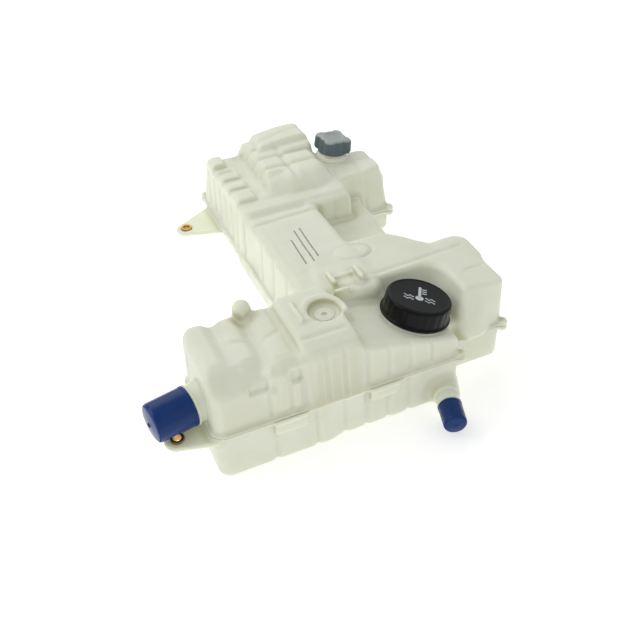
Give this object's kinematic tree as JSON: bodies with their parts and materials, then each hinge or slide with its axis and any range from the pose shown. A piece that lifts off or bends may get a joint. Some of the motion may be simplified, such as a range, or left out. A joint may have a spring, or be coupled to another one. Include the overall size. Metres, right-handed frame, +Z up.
{
  "type": "coolant expansion tank",
  "caption": "Milky plastic coolant expansion tank with a front bar, a wing and a back box, a pressure cap, a lobed filler cap, capped hose necks and fixing ears.",
  "frame": {"origin": "middle of the overall box, on the resting face of the front bar and the sump", "axes": "+X along the front bar towards the wing, +Y from the front bar to the back box, +Z up"},
  "size_m": [0.3926, 0.4864, 0.1495],
  "materials": {
    "tank_plastic": "milky natural moulding, satin",
    "black_plastic": "black moulding, soft gloss",
    "dark_plastic": "black moulding",
    "grey_plastic": "blue-grey moulding, satin",
    "blue_plastic": "dipped vinyl, glossy",
    "seal_rubber": "black rubber",
    "valve_steel": "pressed stainless sheet",
    "spring_steel": "spring wire",
    "brass": "turned brass",
    "bush_brass": "turned brass, dull",
    "float_plastic": "foamed polypropylene",
    "magnet": "sintered ferrite, dark grey"
  },
  "bodies": {
    "tank": {"upper_left_end": "tank_plastic", "upper_pad": "tank_plastic", "upper_deck": "tank_plastic", "upper_wing": "tank_plastic", "upper_bridge": "tank_plastic", "upper_back": "tank_plastic", "lower_left_end": "tank_plastic", "lower_front": "tank_plastic", "lower_wing": "tank_plastic", "lower_bridge": "tank_plastic", "lower_back": "tank_plastic", "front_ear_bush": "bush_brass", "rear_ear_bush": "bush_brass", "float_retainer": "float_plastic", "sensor_tube": "tank_plastic"},
    "pressure_cap_core": {"cap_valve_body": "dark_plastic", "cap_neck_seal": "seal_rubber", "cap_bore_ring": "seal_rubber", "spring_holder": "valve_steel", "pressure_spring": "spring_steel"},
    "pressure_cap": {"pressure_cap_shell": "black_plastic"},
    "pressure_plate": {"pressure_valve_plate": "valve_steel", "vacuum_spring": "spring_steel"},
    "vacuum_valve": {"vacuum_valve": "brass"},
    "filler_cap_core": {"filler_cap_plug": "dark_plastic", "filler_cap_seal": "seal_rubber"},
    "filler_cap": {"filler_cap_shell": "grey_plastic"},
    "large_transit_cap": {"large_transit_cap": "blue_plastic"},
    "small_transit_cap": {"small_transit_cap": "blue_plastic"},
    "level_float": {"level_float": "float_plastic", "float_magnet": "magnet"}
  },
  "joints": [
    {"name": "pressure_cap_lift", "type": "slide", "parent": "tank", "child": "pressure_cap_core", "axis": [0.2419, 0, 0.9703], "range_m": [0, 0.0075]},
    {"name": "pressure_cap_turn", "type": "hinge", "parent": "pressure_cap_core", "child": "pressure_cap", "pos_m": [0.0929, -0.14572, 0.09712], "axis": [0.2419, 0, 0.9703], "range_deg": [0, 540]},
    {"name": "pressure_plate_lift", "type": "slide", "parent": "pressure_cap_core", "child": "pressure_plate", "axis": [0.2419, 0, 0.9703], "range_m": [0, 0.003], "stiffness_N_per_m": 800, "springref_m": -0.004, "deforming": ["pressure_spring"]},
    {"name": "vacuum_valve_drop", "type": "slide", "parent": "pressure_plate", "child": "vacuum_valve", "axis": [-0.2419, 0, -0.9703], "range_m": [0, 0.002], "stiffness_N_per_m": 150, "springref_m": -0.003, "deforming": ["vacuum_spring"]},
    {"name": "filler_cap_lift", "type": "slide", "parent": "tank", "child": "filler_cap_core", "axis": [0.1392, 0, 0.9903], "range_m": [0, 0.0075]},
    {"name": "filler_cap_turn", "type": "hinge", "parent": "filler_cap_core", "child": "filler_cap", "pos_m": [0.1406, 0.15728, 0.12695], "axis": [0.1392, 0, 0.9903], "range_deg": [0, 540]},
    {"name": "large_cap_pull", "type": "slide", "parent": "tank", "child": "large_transit_cap", "axis": [-0.9816, -0.1908, 0], "range_m": [0, 0.045]},
    {"name": "small_cap_pull", "type": "slide", "parent": "tank", "child": "small_transit_cap", "axis": [-0.309, -0.9511, 0], "range_m": [0, 0.036]},
    {"name": "level_float_rise", "type": "slide", "parent": "tank", "child": "level_float", "axis": [0, 0, 1], "range_m": [0, 0.06]}
  ],
  "couplings": [
    {"joint": "pressure_cap_turn", "follows": "pressure_cap_lift", "rad_per_m": 1256.6},
    {"joint": "filler_cap_turn", "follows": "filler_cap_lift", "rad_per_m": 1256.6}
  ]
}
